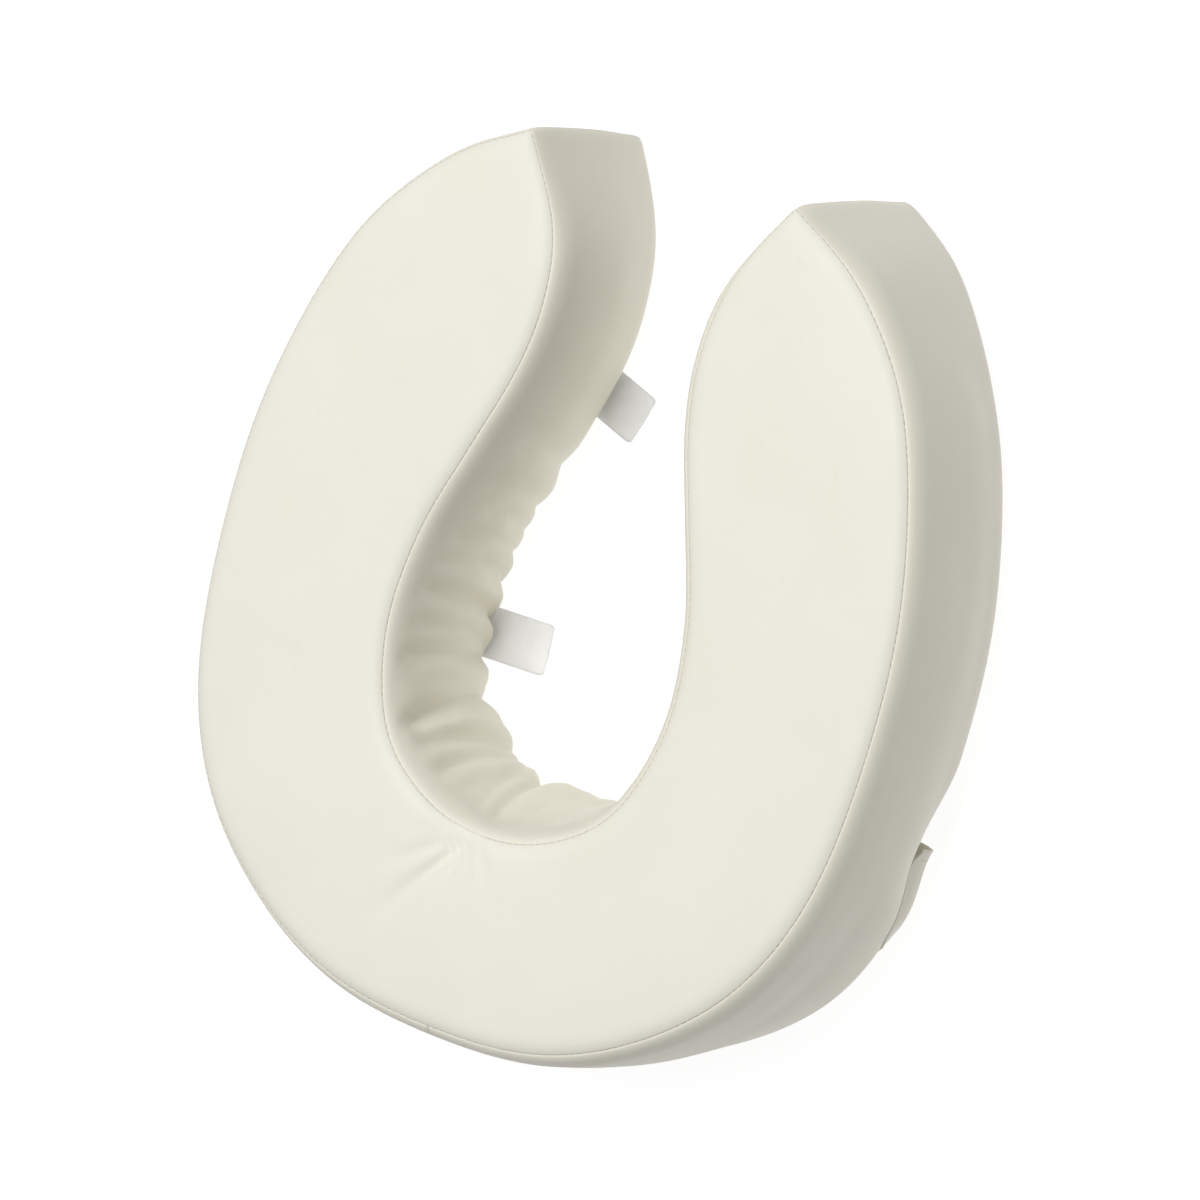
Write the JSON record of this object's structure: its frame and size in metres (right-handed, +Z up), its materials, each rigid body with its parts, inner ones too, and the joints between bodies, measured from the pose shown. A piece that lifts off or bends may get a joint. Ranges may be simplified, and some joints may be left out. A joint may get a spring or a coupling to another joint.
{
  "type": "horseshoe cushion",
  "caption": "Horseshoe-shaped ivory vinyl cushion with a foam core, gathered inner wall, rear slip-on pocket and hook-and-loop straps.",
  "frame": {"origin": "middle of the base, on the surface the cushion lies on", "axes": "+Z up through the cushion's thickness, +Y from the closed end to the arm tips, +X to the right arm seen from above with the tips away from the viewer"},
  "size_m": [0.368, 0.42, 0.1028],
  "materials": {
    "ivory_vinyl": "satin",
    "foam": "matte",
    "thread": "matte",
    "loop_tape": "matte",
    "hook_tape": "matte"
  },
  "bodies": {
    "cushion": {"foam_core": "foam", "top_panel": "ivory_vinyl", "boxing_strip": "ivory_vinyl", "bottom_panel": "ivory_vinyl", "top_seam_thread": "thread", "bottom_seam_thread": "thread", "pocket_panel": "ivory_vinyl", "left_hem_thread": "thread", "right_hem_thread": "thread", "front_right_strap_anchor": "loop_tape", "front_right_strap_box_stitch": "thread", "front_right_hook_patch": "hook_tape", "front_left_strap_anchor": "loop_tape", "front_left_strap_box_stitch": "thread", "front_left_hook_patch": "hook_tape", "rear_right_strap_anchor": "loop_tape", "rear_right_strap_box_stitch": "thread", "rear_right_hook_patch": "hook_tape", "rear_left_strap_anchor": "loop_tape", "rear_left_strap_box_stitch": "thread", "rear_left_hook_patch": "hook_tape"},
    "front_right_strap": {"front_right_strap": "loop_tape"},
    "front_left_strap": {"front_left_strap": "loop_tape"},
    "rear_right_strap": {"rear_right_strap": "loop_tape"},
    "rear_left_strap": {"rear_left_strap": "loop_tape"}
  },
  "joints": [
    {"name": "front_right_strap_fold", "type": "hinge", "parent": "cushion", "child": "front_right_strap", "pos_m": [0.14193, 0.12013, -0.0001], "axis": [0.309, -0.9511, 0], "range_deg": [0, 175]},
    {"name": "front_left_strap_fold", "type": "hinge", "parent": "cushion", "child": "front_left_strap", "pos_m": [-0.14193, 0.12013, -0.0001], "axis": [0.309, 0.9511, 0], "range_deg": [0, 175]},
    {"name": "rear_right_strap_fold", "type": "hinge", "parent": "cushion", "child": "rear_right_strap", "pos_m": [0.16401, -0.04034, -0.0001], "axis": [-0.0349, -0.9994, 0], "range_deg": [0, 175]},
    {"name": "rear_left_strap_fold", "type": "hinge", "parent": "cushion", "child": "rear_left_strap", "pos_m": [-0.16401, -0.04034, -0.0001], "axis": [-0.0349, 0.9994, 0], "range_deg": [0, 175]}
  ]
}
